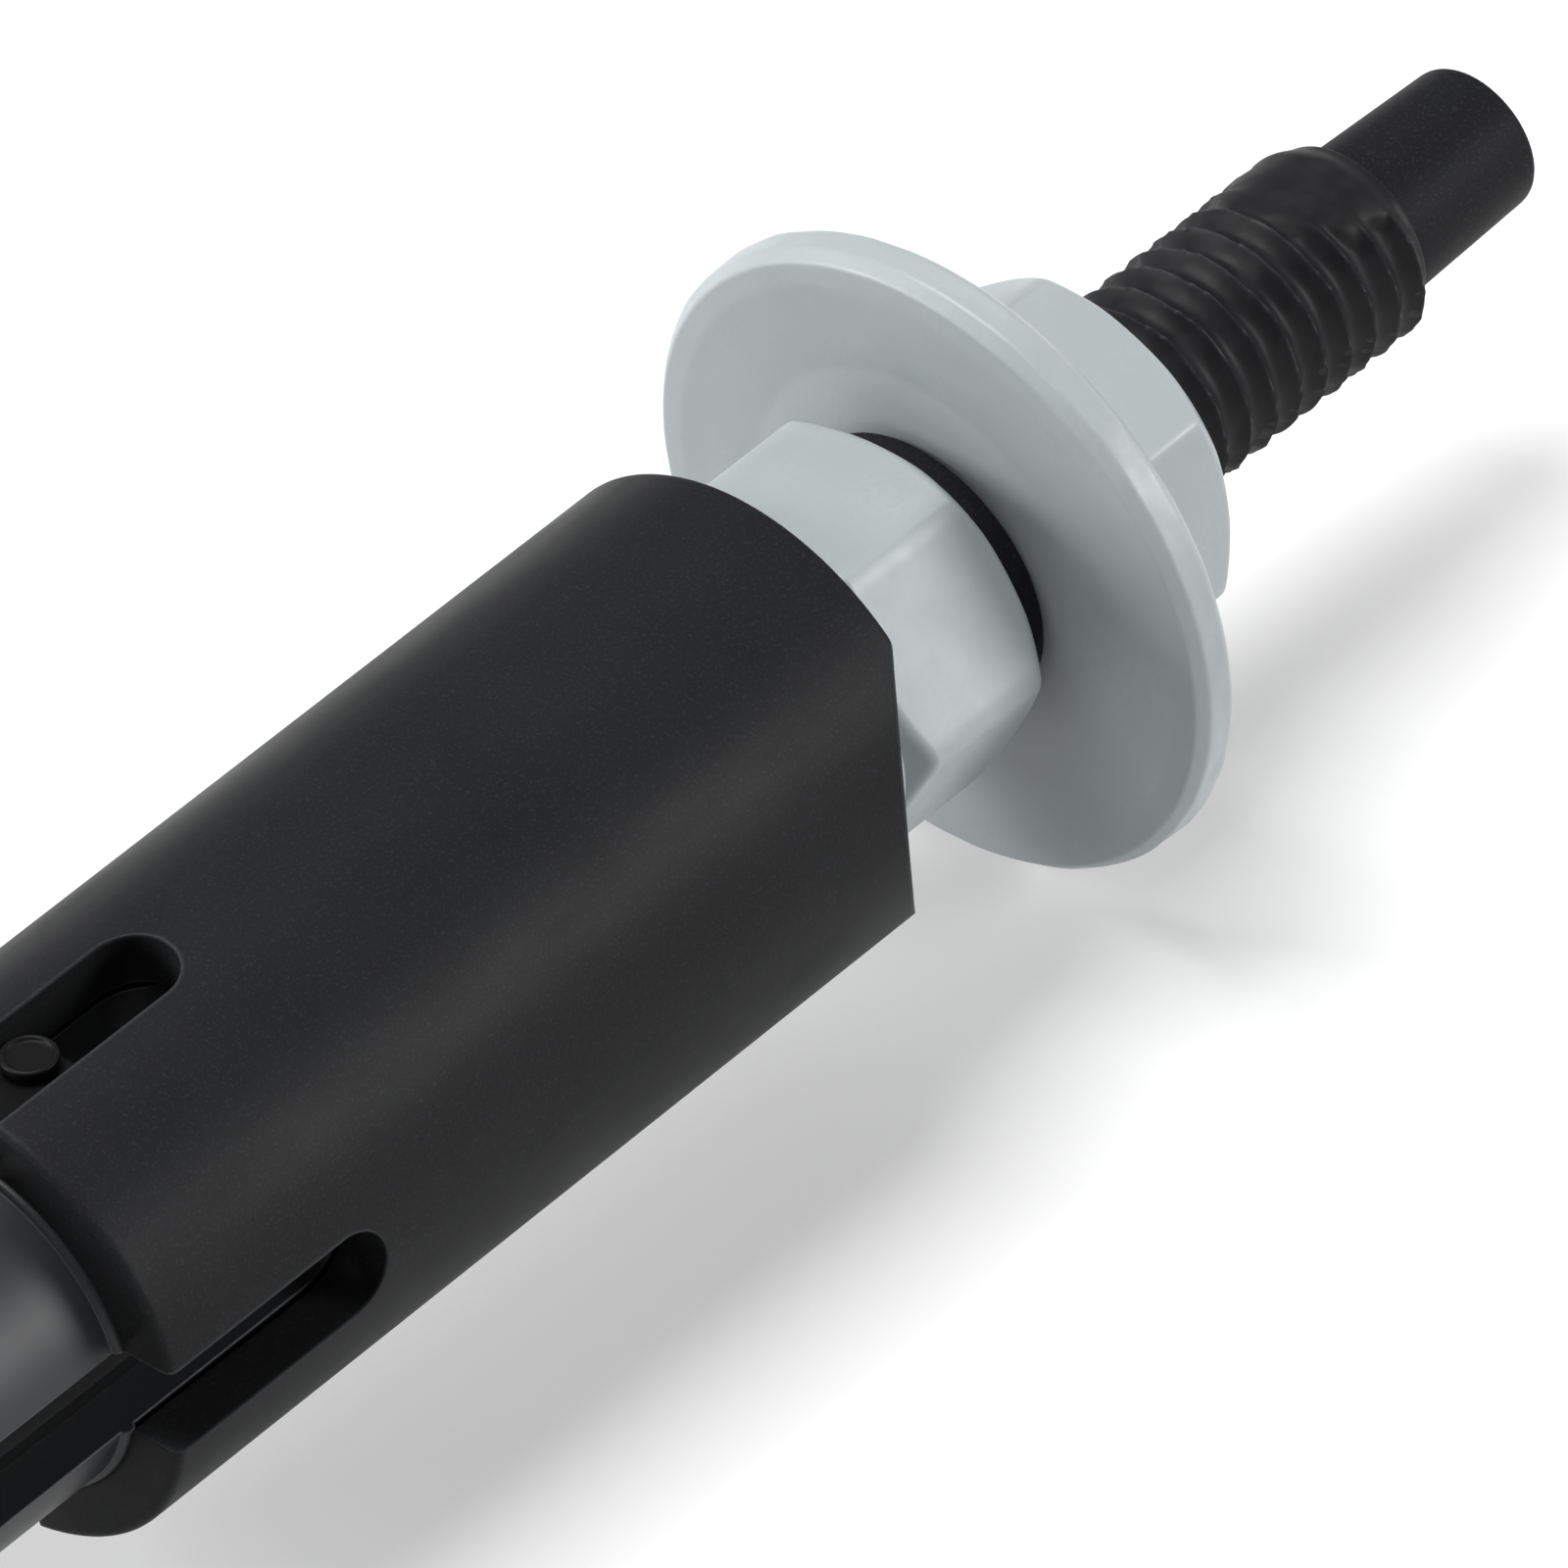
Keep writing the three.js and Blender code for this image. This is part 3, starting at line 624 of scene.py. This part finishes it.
def make_nozzle():
    """The nozzle, with its stem, the collar between plug and guard, and the tip."""
    start, end = rear("nozzle"), front("nozzle")
    sleeve_front = front("nozzle_sleeve")
    bore, base, tip = 1.5 * MM, 3.7 * MM, 3.42 * MM
    collar = radius("nozzle") - 0.01 * MM
    collar_rear = front("barrel_plug") + FIT
    collar_front = rear("finger_guard") - FIT
    stem_front = rear("nozzle_sleeve") - FIT
    outline = rounded([
        (start, bore, 0),
        (start, STEM_RADIUS, 0.3 * MM),
        (collar_rear, STEM_RADIUS, 0),
        (collar_rear, collar, 0.3 * MM),
        (collar_front + 0.2 * MM, collar, 0.1 * MM),
        (collar_front + 0.2 * MM, STEM_RADIUS, 0),
        (stem_front, STEM_RADIUS, 0),
        (stem_front, base, 0),
        (sleeve_front, base, 0),
        (end, tip, 0.5 * MM),
        (end, bore, 0.3 * MM),
    ])
    add_piece("nozzle", turned("nozzle_fine", outline), NOZZLE_BLACK)


def sleeve_shape(first, last, crest, neck, pitch, depth):
    """Helical ribs with sharp crests, and a smooth patch on top that runs down onto the nozzle."""
    patch_x = last - 1.4 * MM
    patch_angle = math.radians(-5)
    half_length, half_angle = 4.6 * MM, math.radians(49)
    slope_start = last - 1.5 * MM

    def shape(x, r, angle):
        if r < neck or x < first:
            return r
        turn = (angle - patch_angle + math.pi) % math.tau - math.pi
        along = (x - patch_x) / half_length
        across = turn / half_angle
        wobble = noise.noise(Vector((x / (1.5 * MM), math.sin(angle) * 3, math.cos(angle) * 3)))
        spread = along * along + across * across + wobble * 0.3
        smooth = 1 / (1 + math.exp((spread - 1) * 9))
        phase = ((x - first) / pitch - angle / math.tau + wobble * 0.06) % 1
        skewed = phase ** 0.8 * 2 - 1
        valley = 1 - abs(skewed) ** 1.8
        ribbed = r - depth * valley
        ramp = min(max((x - slope_start) / (1.4 * MM), 0), 1)
        ramp = ramp * ramp * (3 - 2 * ramp)
        patch = r - depth * 0.1
        patch -= ramp * 0.6 * max(patch - neck, 0)
        patch += 0.04 * MM * noise.noise(Vector((x / (1.1 * MM), turn * 3, 3.7)))
        return max(min(mixed(ribbed, patch, smooth), crest), neck)

    return shape


def make_sleeve():
    """The ribbed rubber sleeve over the nozzle's rear half."""
    start, end = rear("nozzle_sleeve"), front("nozzle_sleeve")
    crest = radius("nozzle_sleeve")
    bore = 4.05 * MM
    pitch, depth = 1.6 * MM, 0.55 * MM
    outline = rounded([
        (start, bore, 0),
        (start, crest, 0),
        (end, crest, 0.3 * MM),
        (end, bore, 0.1 * MM),
    ])
    points = densified(outline, 0.1 * MM)
    first = front("finger_guard") - 2 * MM
    shape = sleeve_shape(first, end, crest, bore + 0.02 * MM, pitch, depth)
    add_piece("nozzle_sleeve", turned("nozzle_sleeve_fine", points, 320, shape), SLEEVE_RUBBER)


def upright(mesh, x, base):
    """Stands a mesh turned along the pump's axis on end, with its x = 0 at the base height."""
    to_origin = Matrix.Translation((0, 0, -AXIS_Z))
    stood = Matrix.Rotation(-math.pi / 2, 4, "Y")
    mesh.transform(Matrix.Translation((x, 0, base)) @ stood @ to_origin)
    return mesh


def make_latch_pin():
    """The pin that holds the cocked rod, with a dished head."""
    low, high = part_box("latch_pin")
    head, shank = radius("latch_pin"), 0.8 * MM
    height = high.z - low.z
    under_head = height - 0.4 * MM
    dish = height - 0.15 * MM
    outline = rounded([
        (0, 0, 0),
        (0, 0.5 * MM, 0),
        (0.3 * MM, shank, 0.1 * MM),
        (under_head, shank, 0),
        (under_head, head, 0.05 * MM),
        (height - 0.05 * MM, head, 0.12 * MM),
        (height, head - 0.18 * MM, 0.1 * MM),
        (dish, head - 0.32 * MM, 0.1 * MM),
        (dish, 0, 0),
    ], closed=False)
    mesh = upright(turned("latch_pin_fine", outline, 64, closed=False), middle("latch_pin").x, low.z)
    add_piece("latch_pin", mesh, LEVER_BLACK, "release_lever_body")


def arc(centre, r, start, end, steps=16):
    """Points in (x, z) on an arc between two angles in degrees."""
    angles = [math.radians(mixed(start, end, i / steps)) for i in range(steps + 1)]
    return [(centre[0] + r * math.cos(a), centre[1] + r * math.sin(a)) for a in angles]


def make_lever():
    """The flat lever in the top slot, with a round boss where its pin goes through."""
    low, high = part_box("release_lever")
    width = high.y - low.y
    pin = middle("lever_pivot_pin")
    boss = 1.9 * MM
    bar_low = high.z - 1.5 * MM
    chamfer = 0.5 * MM
    gusset_length, gusset_height = 1.2 * MM, 0.8 * MM
    outline = [(low.x, bar_low), (pin.x - boss - gusset_length, bar_low)]
    outline += [(pin.x - boss, bar_low - gusset_height), *arc((pin.x, pin.z), boss, 180, 360)]
    outline += [(pin.x + boss, bar_low - gusset_height), (pin.x + boss + gusset_length, bar_low)]
    outline += [(high.x - chamfer, bar_low), (high.x, bar_low + chamfer), (high.x, high.z - chamfer)]
    outline += [(high.x - chamfer, high.z), (low.x, high.z)]
    pin_low, pin_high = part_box("lever_pivot_pin")
    hole = crosswise((pin_high.z - pin_low.z) / 2 + 0.1 * MM, width * 2, pin.x, pin.z, 64)
    mesh = cut_away(plate("release_lever_fine", outline, width, 0.2 * MM), hole)
    add_piece("release_lever", mesh, LEVER_BLACK, "release_lever_body")


def make_thumb_pad():
    """A pad with a hollow for the thumb and a row of grip ridges across it."""
    low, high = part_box("thumb_pad")
    length, height = high.x - low.x, high.z - low.z
    ridges = 8
    outline = [(low.x, low.z), (high.x, low.z)]
    steps = 120
    for i in range(steps + 1):
        share = 1 - i / steps
        crest = 0.82 + 0.18 * (2 * share - 1) ** 2
        shoulder = min(share / 0.07, (1 - share) / 0.12, 1)
        hollow = crest * math.sqrt(max(shoulder * (2 - shoulder), 0))
        ridge = 0.5 + 0.5 * math.cos(math.tau * ridges * (share - 0.5))
        inside = 0.15 < share < 0.85
        drop = 0.09 * (1 - ridge) if inside else 0
        outline.append((low.x + length * share, low.z + height * max(hollow - drop, 0.02)))
    mesh = plate("thumb_pad_fine", outline, high.y - low.y, 0.25 * MM)
    add_piece("thumb_pad", mesh, PAD_PALE, "release_lever_body")


def make_pivot_pin():
    """The steel pin that the lever tips about."""
    low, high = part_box("lever_pivot_pin")
    pin_radius = (high.z - low.z) / 2
    half = (high.y - low.y) / 2
    outline = rounded([
        (-half, 0, 0),
        (-half, pin_radius, 0.2 * MM),
        (half, pin_radius, 0.2 * MM),
        (half, 0, 0),
    ], closed=False)
    mesh = turned("lever_pivot_pin_fine", outline, 48, closed=False)
    centre = middle("lever_pivot_pin")
    across = Matrix.Rotation(math.pi / 2, 4, "Z") @ Matrix.Translation((0, 0, -AXIS_Z))
    mesh.transform(Matrix.Translation(centre) @ across)
    add_piece("lever_pivot_pin", mesh, STEEL)


def make_guide_screws():
    """The slotted screws that hold the rod's guide from both sides."""
    shank, head_height, slit_depth, slit = 0.9 * MM, 1.1 * MM, 0.45 * MM, 0.3 * MM
    for label, side in (("left", 1), ("right", -1)):
        node = f"guide_screw_{label}"
        low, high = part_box(node)
        length = high.y - low.y
        head = (high.z - low.z) / 2
        outline = rounded([
            (0, 0, 0),
            (0, shank, 0.2 * MM),
            (length - head_height, shank, 0),
            (length - head_height, head, 0.1 * MM),
            (length - 0.4 * MM, head, 0.35 * MM),
            (length, head - 0.7 * MM, 0.5 * MM),
            (length, 0, 0),
        ], closed=False)
        mesh = turned(f"{node}_fine", outline, 64, closed=False)
        low_corner = (length - slit_depth, -head * 2, AXIS_Z - slit)
        mesh = cut_away(mesh, block(low_corner, (length + MM, head * 2, AXIS_Z + slit)))
        inner = low.y if side > 0 else high.y
        outward = Matrix.Rotation(side * math.pi / 2, 4, "Z") @ Matrix.Translation((0, 0, -AXIS_Z))
        mesh.transform(Matrix.Translation((middle(node).x, inner, AXIS_Z)) @ outward)
        add_piece(node, mesh, STEEL)


def make_grip():
    """The rubber grip, with grooves around it."""
    start, end = rear("grip_sleeve"), front("grip_sleeve")
    outer = radius("grip_sleeve")
    rings, depth = 15, 0.55 * MM
    bore = BARREL_BORE
    first, last = start + 2.6 * MM, end - 4.2 * MM
    corners = [(start, bore, 0), (start, outer - 0.6 * MM, 0.3 * MM), (start + 0.8 * MM, outer, 0.5 * MM)]
    pitch = (last - first) / rings
    for i in range(rings):
        x = first + (i + 0.5) * pitch
        corners.append((x - pitch * 0.28, outer, 0.15 * MM))
        corners.append((x - pitch * 0.16, outer - depth, 0.2 * MM))
        corners.append((x + pitch * 0.16, outer - depth, 0.2 * MM))
        corners.append((x + pitch * 0.28, outer, 0.15 * MM))
    corners += [(end - 2.4 * MM, outer, 1 * MM), (end, outer - 1.6 * MM, 0.4 * MM), (end, bore, 0)]
    mesh = turned("grip_sleeve_fine", rounded(corners, 4), SEGMENTS)
    add_piece("grip_sleeve", mesh, GRIP_RUBBER)


def make_rear_nut():
    """The hexagonal cap nut at the tube's rear end."""
    low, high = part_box("rear_nut")
    apothem = (high.z - low.z) / 2
    corner = apothem / math.cos(math.pi / 6)
    bore = ROD_RADIUS + FIT
    seat = BARREL_BORE + 0.02 * MM
    wall, rise = 2 * MM, 1.2 * MM
    outline = rounded([
        (low.x, bore, 0.3 * MM),
        (low.x, corner - 2 * MM, 0.5 * MM),
        (low.x + rise, corner, 0.6 * MM),
        (high.x - rise, corner, 0.6 * MM),
        (high.x, corner - 2 * MM, 0.5 * MM),
        (high.x, seat, 0.2 * MM),
        (low.x + wall, seat, 0),
        (low.x + wall, bore, 0),
    ])
    points = densified(outline, 0.3 * MM)
    shape = hexed(low.x - MM, apothem - 0.02 * MM, 30, 0.01 * MM, 0.5 * MM)
    add_piece("rear_nut", turned("rear_nut_fine", points, FINE_SEGMENTS, shape), PALE)


def make_knob():
    """The thumb knob, a rounded hexagon with a recess for its cap in its rear face."""
    low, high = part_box("thumb_knob")
    apothem = (high.z - low.z) / 2 - 0.01 * MM
    corner = (high.y - low.y) / 2
    recess, depth = 7 * MM, 3 * MM
    hole = ROD_RADIUS + FIT
    outline = rounded([
        (low.x + depth, hole, 0),
        (low.x + depth, recess, 0.2 * MM),
        (low.x, recess, 0.3 * MM),
        (low.x, 12.5 * MM, 2.2 * MM),
        (low.x + 3.6 * MM, corner - 0.1 * MM, 2 * MM),
        (high.x - 4.4 * MM, corner - 0.1 * MM, 2 * MM),
        (high.x - 2.2 * MM, 9 * MM, 2 * MM),
        (high.x, 6.6 * MM, 0.6 * MM),
        (high.x, hole, 0.2 * MM),
    ], 10)
    points = densified(outline, 0.4 * MM)
    shape = hexed(low.x - MM, apothem, 30, 0.01 * MM, 2.2 * MM)
    add_piece("thumb_knob", turned("thumb_knob_fine", points, FINE_SEGMENTS, shape), KNOB_BLACK, "plunger")


def make_knob_cap():
    """The knob's cap, with three raised rings on its rear face."""
    low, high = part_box("knob_cap")
    outer = radius("knob_cap")
    valley = low.x + 0.35 * MM
    corners = [(valley, 0, 0), (valley, 1.6 * MM, 0.2 * MM)]
    for i in range(3):
        r = (2.2 + i * 1.4) * MM
        corners.append((low.x + 0.05 * MM, r, 0.25 * MM))
        corners.append((valley, r + 0.7 * MM, 0.25 * MM))
    corners += [(low.x, outer - 0.5 * MM, 0.2 * MM), (low.x + 0.2 * MM, outer, 0.2 * MM)]
    corners += [(high.x, outer, 0.1 * MM), (high.x, 0, 0)]
    mesh = turned("knob_cap_fine", rounded(corners, closed=False), 96, closed=False)
    add_piece("knob_cap", mesh, PALE, "plunger")


def make_rod():
    """The plunger rod, with grooves for the clip and the latch pin and a stub for the piston."""
    low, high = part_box("plunger_rod")
    shoulder = rear("piston") - FIT
    stub = 1.9 * MM
    groove = middle("latch_pin").x - STROKE
    clip = middle("collar_clip").x
    clip_half, groove_half = 0.8 * MM, 1.4 * MM
    floor = ROD_RADIUS - 0.8 * MM
    hole, hole_depth = 1.1 * MM, 3 * MM
    outline = rounded([
        (low.x, 0, 0),
        (low.x, ROD_RADIUS, 0.3 * MM),
        (clip - clip_half, ROD_RADIUS, 0),
        (clip - clip_half, floor, 0),
        (clip + clip_half, floor, 0),
        (clip + clip_half, ROD_RADIUS, 0),
        (groove - groove_half, ROD_RADIUS, 0.1 * MM),
        (groove - groove_half, floor, 0.2 * MM),
        (groove + groove_half, floor, 0.2 * MM),
        (groove + groove_half, ROD_RADIUS, 0.1 * MM),
        (shoulder, ROD_RADIUS, 0.2 * MM),
        (shoulder, stub, 0),
        (high.x, stub, 0.2 * MM),
        (high.x, hole, 0),
        (high.x - hole_depth, hole, 0),
        (high.x - hole_depth, 0, 0),
    ], closed=False)
    add_piece("plunger_rod", turned("plunger_rod_fine", outline, 96, closed=False), STEEL, "plunger")


def coil(name, turns, mean, wire, length, sides=14, steps=28):
    """A coil spring along +X from x = 0, with its wire's ends closed."""
    vertices = []
    faces = []
    count = int(turns * steps) + 1
    rise = (length - wire * 2) / (turns * steps)
    for i in range(count):
        angle = math.tau * i / steps
        for k in range(sides):
            turn = math.tau * k / sides
            x = wire + i * rise + wire * math.sin(turn)
            r = mean + wire * math.cos(turn)
            vertices.append((x, r * math.sin(angle), r * math.cos(angle)))
    for i in range(count - 1):
        for k in range(sides):
            after = (k + 1) % sides
            faces.append((i * sides + k, i * sides + after, (i + 1) * sides + after, (i + 1) * sides + k))
    faces.append(tuple(range(sides)))
    faces.append(tuple(range((count - 1) * sides, count * sides)))
    return finished_mesh(name, vertices, faces)


def make_springs():
    """The two coil springs, each given a mesh of its own."""
    low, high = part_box("main_spring")
    wire = 0.55 * MM
    length = high.x - low.x - 0.02 * MM
    mesh = coil("main_spring_fine", 12, radius("main_spring") - wire - 0.02 * MM, wire, length)
    mesh.transform(Matrix.Translation((low.x, 0, AXIS_Z)))
    spring = add_piece("main_spring", mesh, SPRING_STEEL)
    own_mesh(spring)
    low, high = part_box("lever_spring")
    wire = 0.25 * MM
    length = high.z - low.z - 0.02 * MM
    mesh = coil("lever_spring_fine", 4, radius("lever_spring") - wire - 0.01 * MM, wire, length, 10, 24)
    stood = Matrix.Rotation(-math.pi / 2, 4, "Y")
    mesh.transform(Matrix.Translation((middle("lever_spring").x, 0, low.z)) @ stood)
    spring = add_piece("lever_spring", mesh, SPRING_STEEL)
    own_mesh(spring)


def dress_cad_nodes():
    """Gives the CAD nodes that stay their own materials."""
    looks = {
        "plug_seal": SEAL_RUBBER, "piston_seal": SEAL_RUBBER, "bumper_ring": SEAL_RUBBER,
        "rod_guide": BRASS, "end_bush": BRASS, "collar_clip": SPRING_STEEL, "piston": PISTON_PALE,
        "piston_nut": STEEL, "cleaning_pin": STEEL, "spring_collar": KNOB_BLACK,
    }
    for name, look in looks.items():
        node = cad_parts[name]
        for slot in node.material_slots:
            slot.material = look


# ---- Stage ----

def make_floor():
    """A wide sheet of pale paper under the pump."""
    mesh = bpy.data.meshes.new("floor")
    half = 3.0
    corners = [(-half, -half, 0), (half, -half, 0), (half, half, 0), (-half, half, 0)]
    mesh.from_pydata(corners, [], [(0, 1, 2, 3)])
    floor = bpy.data.objects.new("floor", mesh)
    bpy.context.scene.collection.objects.link(floor)
    material, tree, shader = new_surface("floor_paper", Roughness=0.8, Specular_IOR_Level=0.2,
                                         Emission_Color=(1, 1, 1, 1), Emission_Strength=0.3)
    fibres = mapped(tree, noise_at(tree, 30 * MM, 3), 0.3, 0.7)
    base = blended(tree, fibres, (0.56, 0.56, 0.56), (0.58, 0.58, 0.58))
    tree.links.new(base, shader.inputs["Base Color"])
    mesh.materials.append(material)


def make_world():
    """A plain studio: bright in front of the nozzle, dim behind the knob."""
    world = bpy.data.worlds.new("studio")
    world.use_nodes = True
    tree = world.node_tree
    background = tree.nodes["Background"]
    background.inputs["Color"].default_value = (1, 1, 1, 1)
    towards = add_node(tree, "ShaderNodeTexCoord").outputs["Generated"]
    along = add_node(tree, "ShaderNodeSeparateXYZ", {0: towards}).outputs["X"]
    tree.links.new(mapped(tree, along, -1, 1, 0.06, 0.3), background.inputs["Strength"])
    bpy.context.scene.world = world


def add_light(name, place, target, size, power):
    """A square of light, size metres across, that faces its target."""
    data = bpy.data.lights.new(name, "AREA")
    data.shape = "SQUARE"
    data.size = size
    data.energy = power
    light = bpy.data.objects.new(name, data)
    light.location = place
    light.rotation_euler = (Vector(target) - Vector(place)).to_track_quat("-Z", "Y").to_euler()
    bpy.context.scene.collection.objects.link(light)


AZIMUTH = math.radians(-48.8)
ELEVATION = math.radians(43.6)
TURN = math.radians(5.3)
DISTANCE = 1.0
BESIDE = 1.15 * MM
BELOW = 3.48 * MM
LENS = 555.5


def view_axes():
    """The camera's right, up and back directions."""
    sin_a, cos_a = math.sin(AZIMUTH), math.cos(AZIMUTH)
    sin_e, cos_e = math.sin(ELEVATION), math.cos(ELEVATION)
    right = Vector((cos_a, sin_a, 0))
    back = Vector((sin_a * cos_e, -cos_a * cos_e, sin_e))
    about_axis = Matrix.Rotation(TURN, 3, "X")
    right, back = about_axis @ right, about_axis @ back
    return right, back.cross(right), back


def make_camera():
    """A long lens that looks down at the barrel's front end from the near side."""
    right, up, back = view_axes()
    target = Vector((front("front_barrel"), 0, AXIS_Z))
    place = target + right * BESIDE - up * BELOW + back * DISTANCE
    data = bpy.data.cameras.new("camera")
    data.lens = LENS
    data.sensor_width = 36
    data.clip_start = 0.01
    camera = bpy.data.objects.new("camera", data)
    camera.matrix_world = Matrix.Translation(place) @ Matrix((right, up, back)).transposed().to_4x4()
    bpy.context.scene.collection.objects.link(camera)
    bpy.context.scene.camera = camera


def make_lights():
    """Square lights: one above, one low at the rear on the far side, one low in front on the near side."""
    target = Vector((front("front_barrel"), 0, AXIS_Z))
    add_light("top", target + Vector((-0.1, 0.35, 1.3)), target, 0.7, 20)
    add_light("back", target + Vector((-0.9, 0.9, 0.45)), target, 0.6, 16)
    add_light("front", target + Vector((0.7, -1.0, 0.45)), target, 0.5, 12)


make_barrel()
make_rear_tube()
make_plug()
make_guard()
make_nozzle()
make_sleeve()
make_latch_pin()
make_lever()
make_thumb_pad()
make_pivot_pin()
make_guide_screws()
make_grip()
make_rear_nut()
make_knob()
make_knob_cap()
make_rod()
make_springs()
dress_cad_nodes()
make_floor()
make_world()
make_lights()
make_camera()
bpy.context.scene.view_settings.view_transform = "Standard"
